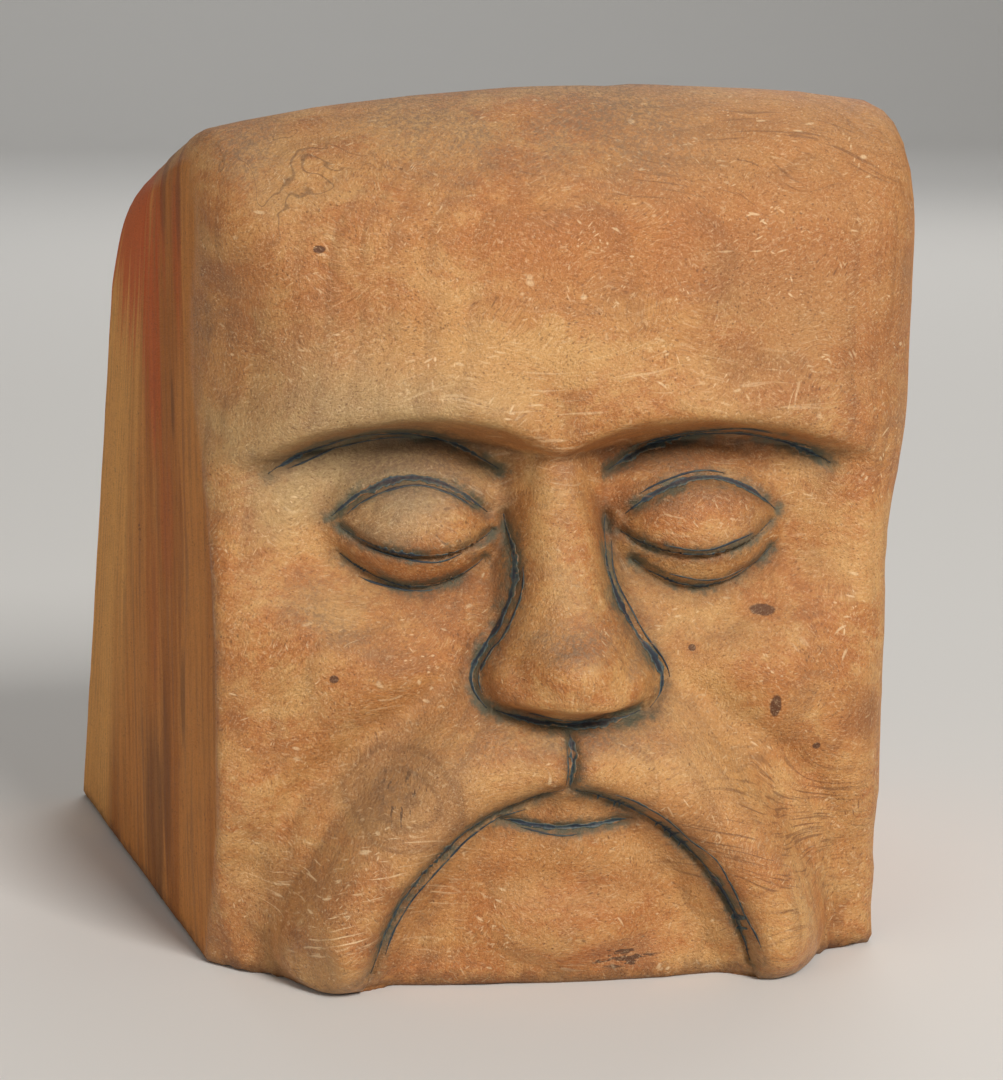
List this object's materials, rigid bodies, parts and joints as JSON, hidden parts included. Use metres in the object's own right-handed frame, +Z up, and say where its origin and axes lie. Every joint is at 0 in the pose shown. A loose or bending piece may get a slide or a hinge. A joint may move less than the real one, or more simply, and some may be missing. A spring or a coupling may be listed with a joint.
{
  "type": "carved wooden face block",
  "caption": "Small solid block of orange-brown wood with a flat base, a flat sawn side, a slanted back and a calm moustached face carved on its front, its cut lines darkened with pigment.",
  "frame": {"origin": "middle of the base of the bounding box, on the surface that the block stands on", "axes": "+Z up; the carved face looks towards -Y; +X is to the right as seen from the front"},
  "size_m": [0.0564, 0.0582, 0.0585],
  "materials": {
    "wood": "hand-carved, bare wood polished by handling, satin",
    "line_pigment": "blue-black ink or pencil, matt, worn"
  },
  "bodies": {
    "root": {"carved_block": "wood", "brow_line_left": "line_pigment", "brow_line_right": "line_pigment", "lid_crease_left": "line_pigment", "lid_crease_right": "line_pigment", "lash_line_left": "line_pigment", "lash_line_right": "line_pigment", "lower_lid_line_left": "line_pigment", "lower_lid_line_right": "line_pigment", "nose_side_line_left": "line_pigment", "nose_side_line_right": "line_pigment", "nose_base_line": "line_pigment", "parting_line": "line_pigment", "moustache_line_left": "line_pigment", "moustache_line_right": "line_pigment", "mouth_line": "line_pigment"}
  },
  "joints": []
}
